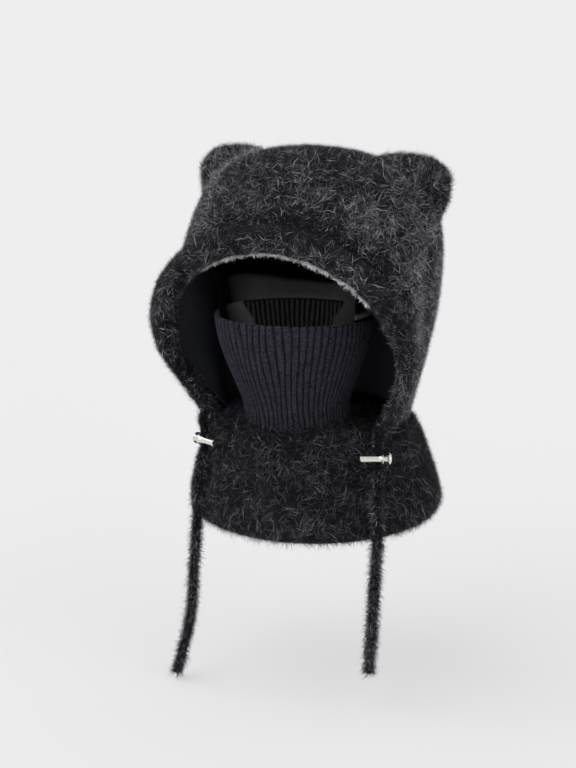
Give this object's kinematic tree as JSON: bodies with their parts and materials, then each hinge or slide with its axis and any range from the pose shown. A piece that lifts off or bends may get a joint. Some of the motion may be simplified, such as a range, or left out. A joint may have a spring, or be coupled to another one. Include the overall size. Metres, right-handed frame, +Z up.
{
  "type": "cat ear balaclava",
  "caption": "Furry knitted hood with cat ear corners, a padded brim, a rib-knit face tube, a furry bib and furry drawcords with sprung metal stoppers",
  "frame": {"origin": "inside of the crown, where the top of the wearer's head bears", "axes": "+Z up through the crown, the face looks towards -Y, the wearer's left is +X"},
  "size_m": [0.2569, 0.2348, 0.4939],
  "materials": {
    "fur": "dark charcoal long-pile furry knit",
    "smooth_lining": "smooth near-black jersey lining",
    "rib_knit": "dark navy-charcoal rib knit",
    "stopper_metal": "polished nickel-plated metal"
  },
  "bodies": {
    "balaclava": {"hood_shell": "fur", "brim": "fur", "neck_bib": "fur", "ear_left": "fur", "ear_right": "fur", "drawcord_left": "fur", "drawcord_right": "fur", "hood_lining": "smooth_lining", "nape_lining": "smooth_lining", "face_tube": "rib_knit", "stopper_barrel_left": "stopper_metal", "stopper_barrel_right": "stopper_metal"},
    "plunger_left": {"stopper_plunger_left": "stopper_metal"},
    "plunger_right": {"stopper_plunger_right": "stopper_metal"}
  },
  "joints": [
    {"name": "plunger_left_slide", "type": "slide", "parent": "balaclava", "child": "plunger_left", "axis": [0.9063, 0.4226, 0], "range_m": [-0.003, 0], "stiffness_N_per_m": 150, "springref_m": 0.002},
    {"name": "plunger_right_slide", "type": "slide", "parent": "balaclava", "child": "plunger_right", "axis": [-0.9063, 0.4226, 0], "range_m": [-0.003, 0], "stiffness_N_per_m": 150, "springref_m": 0.002}
  ]
}
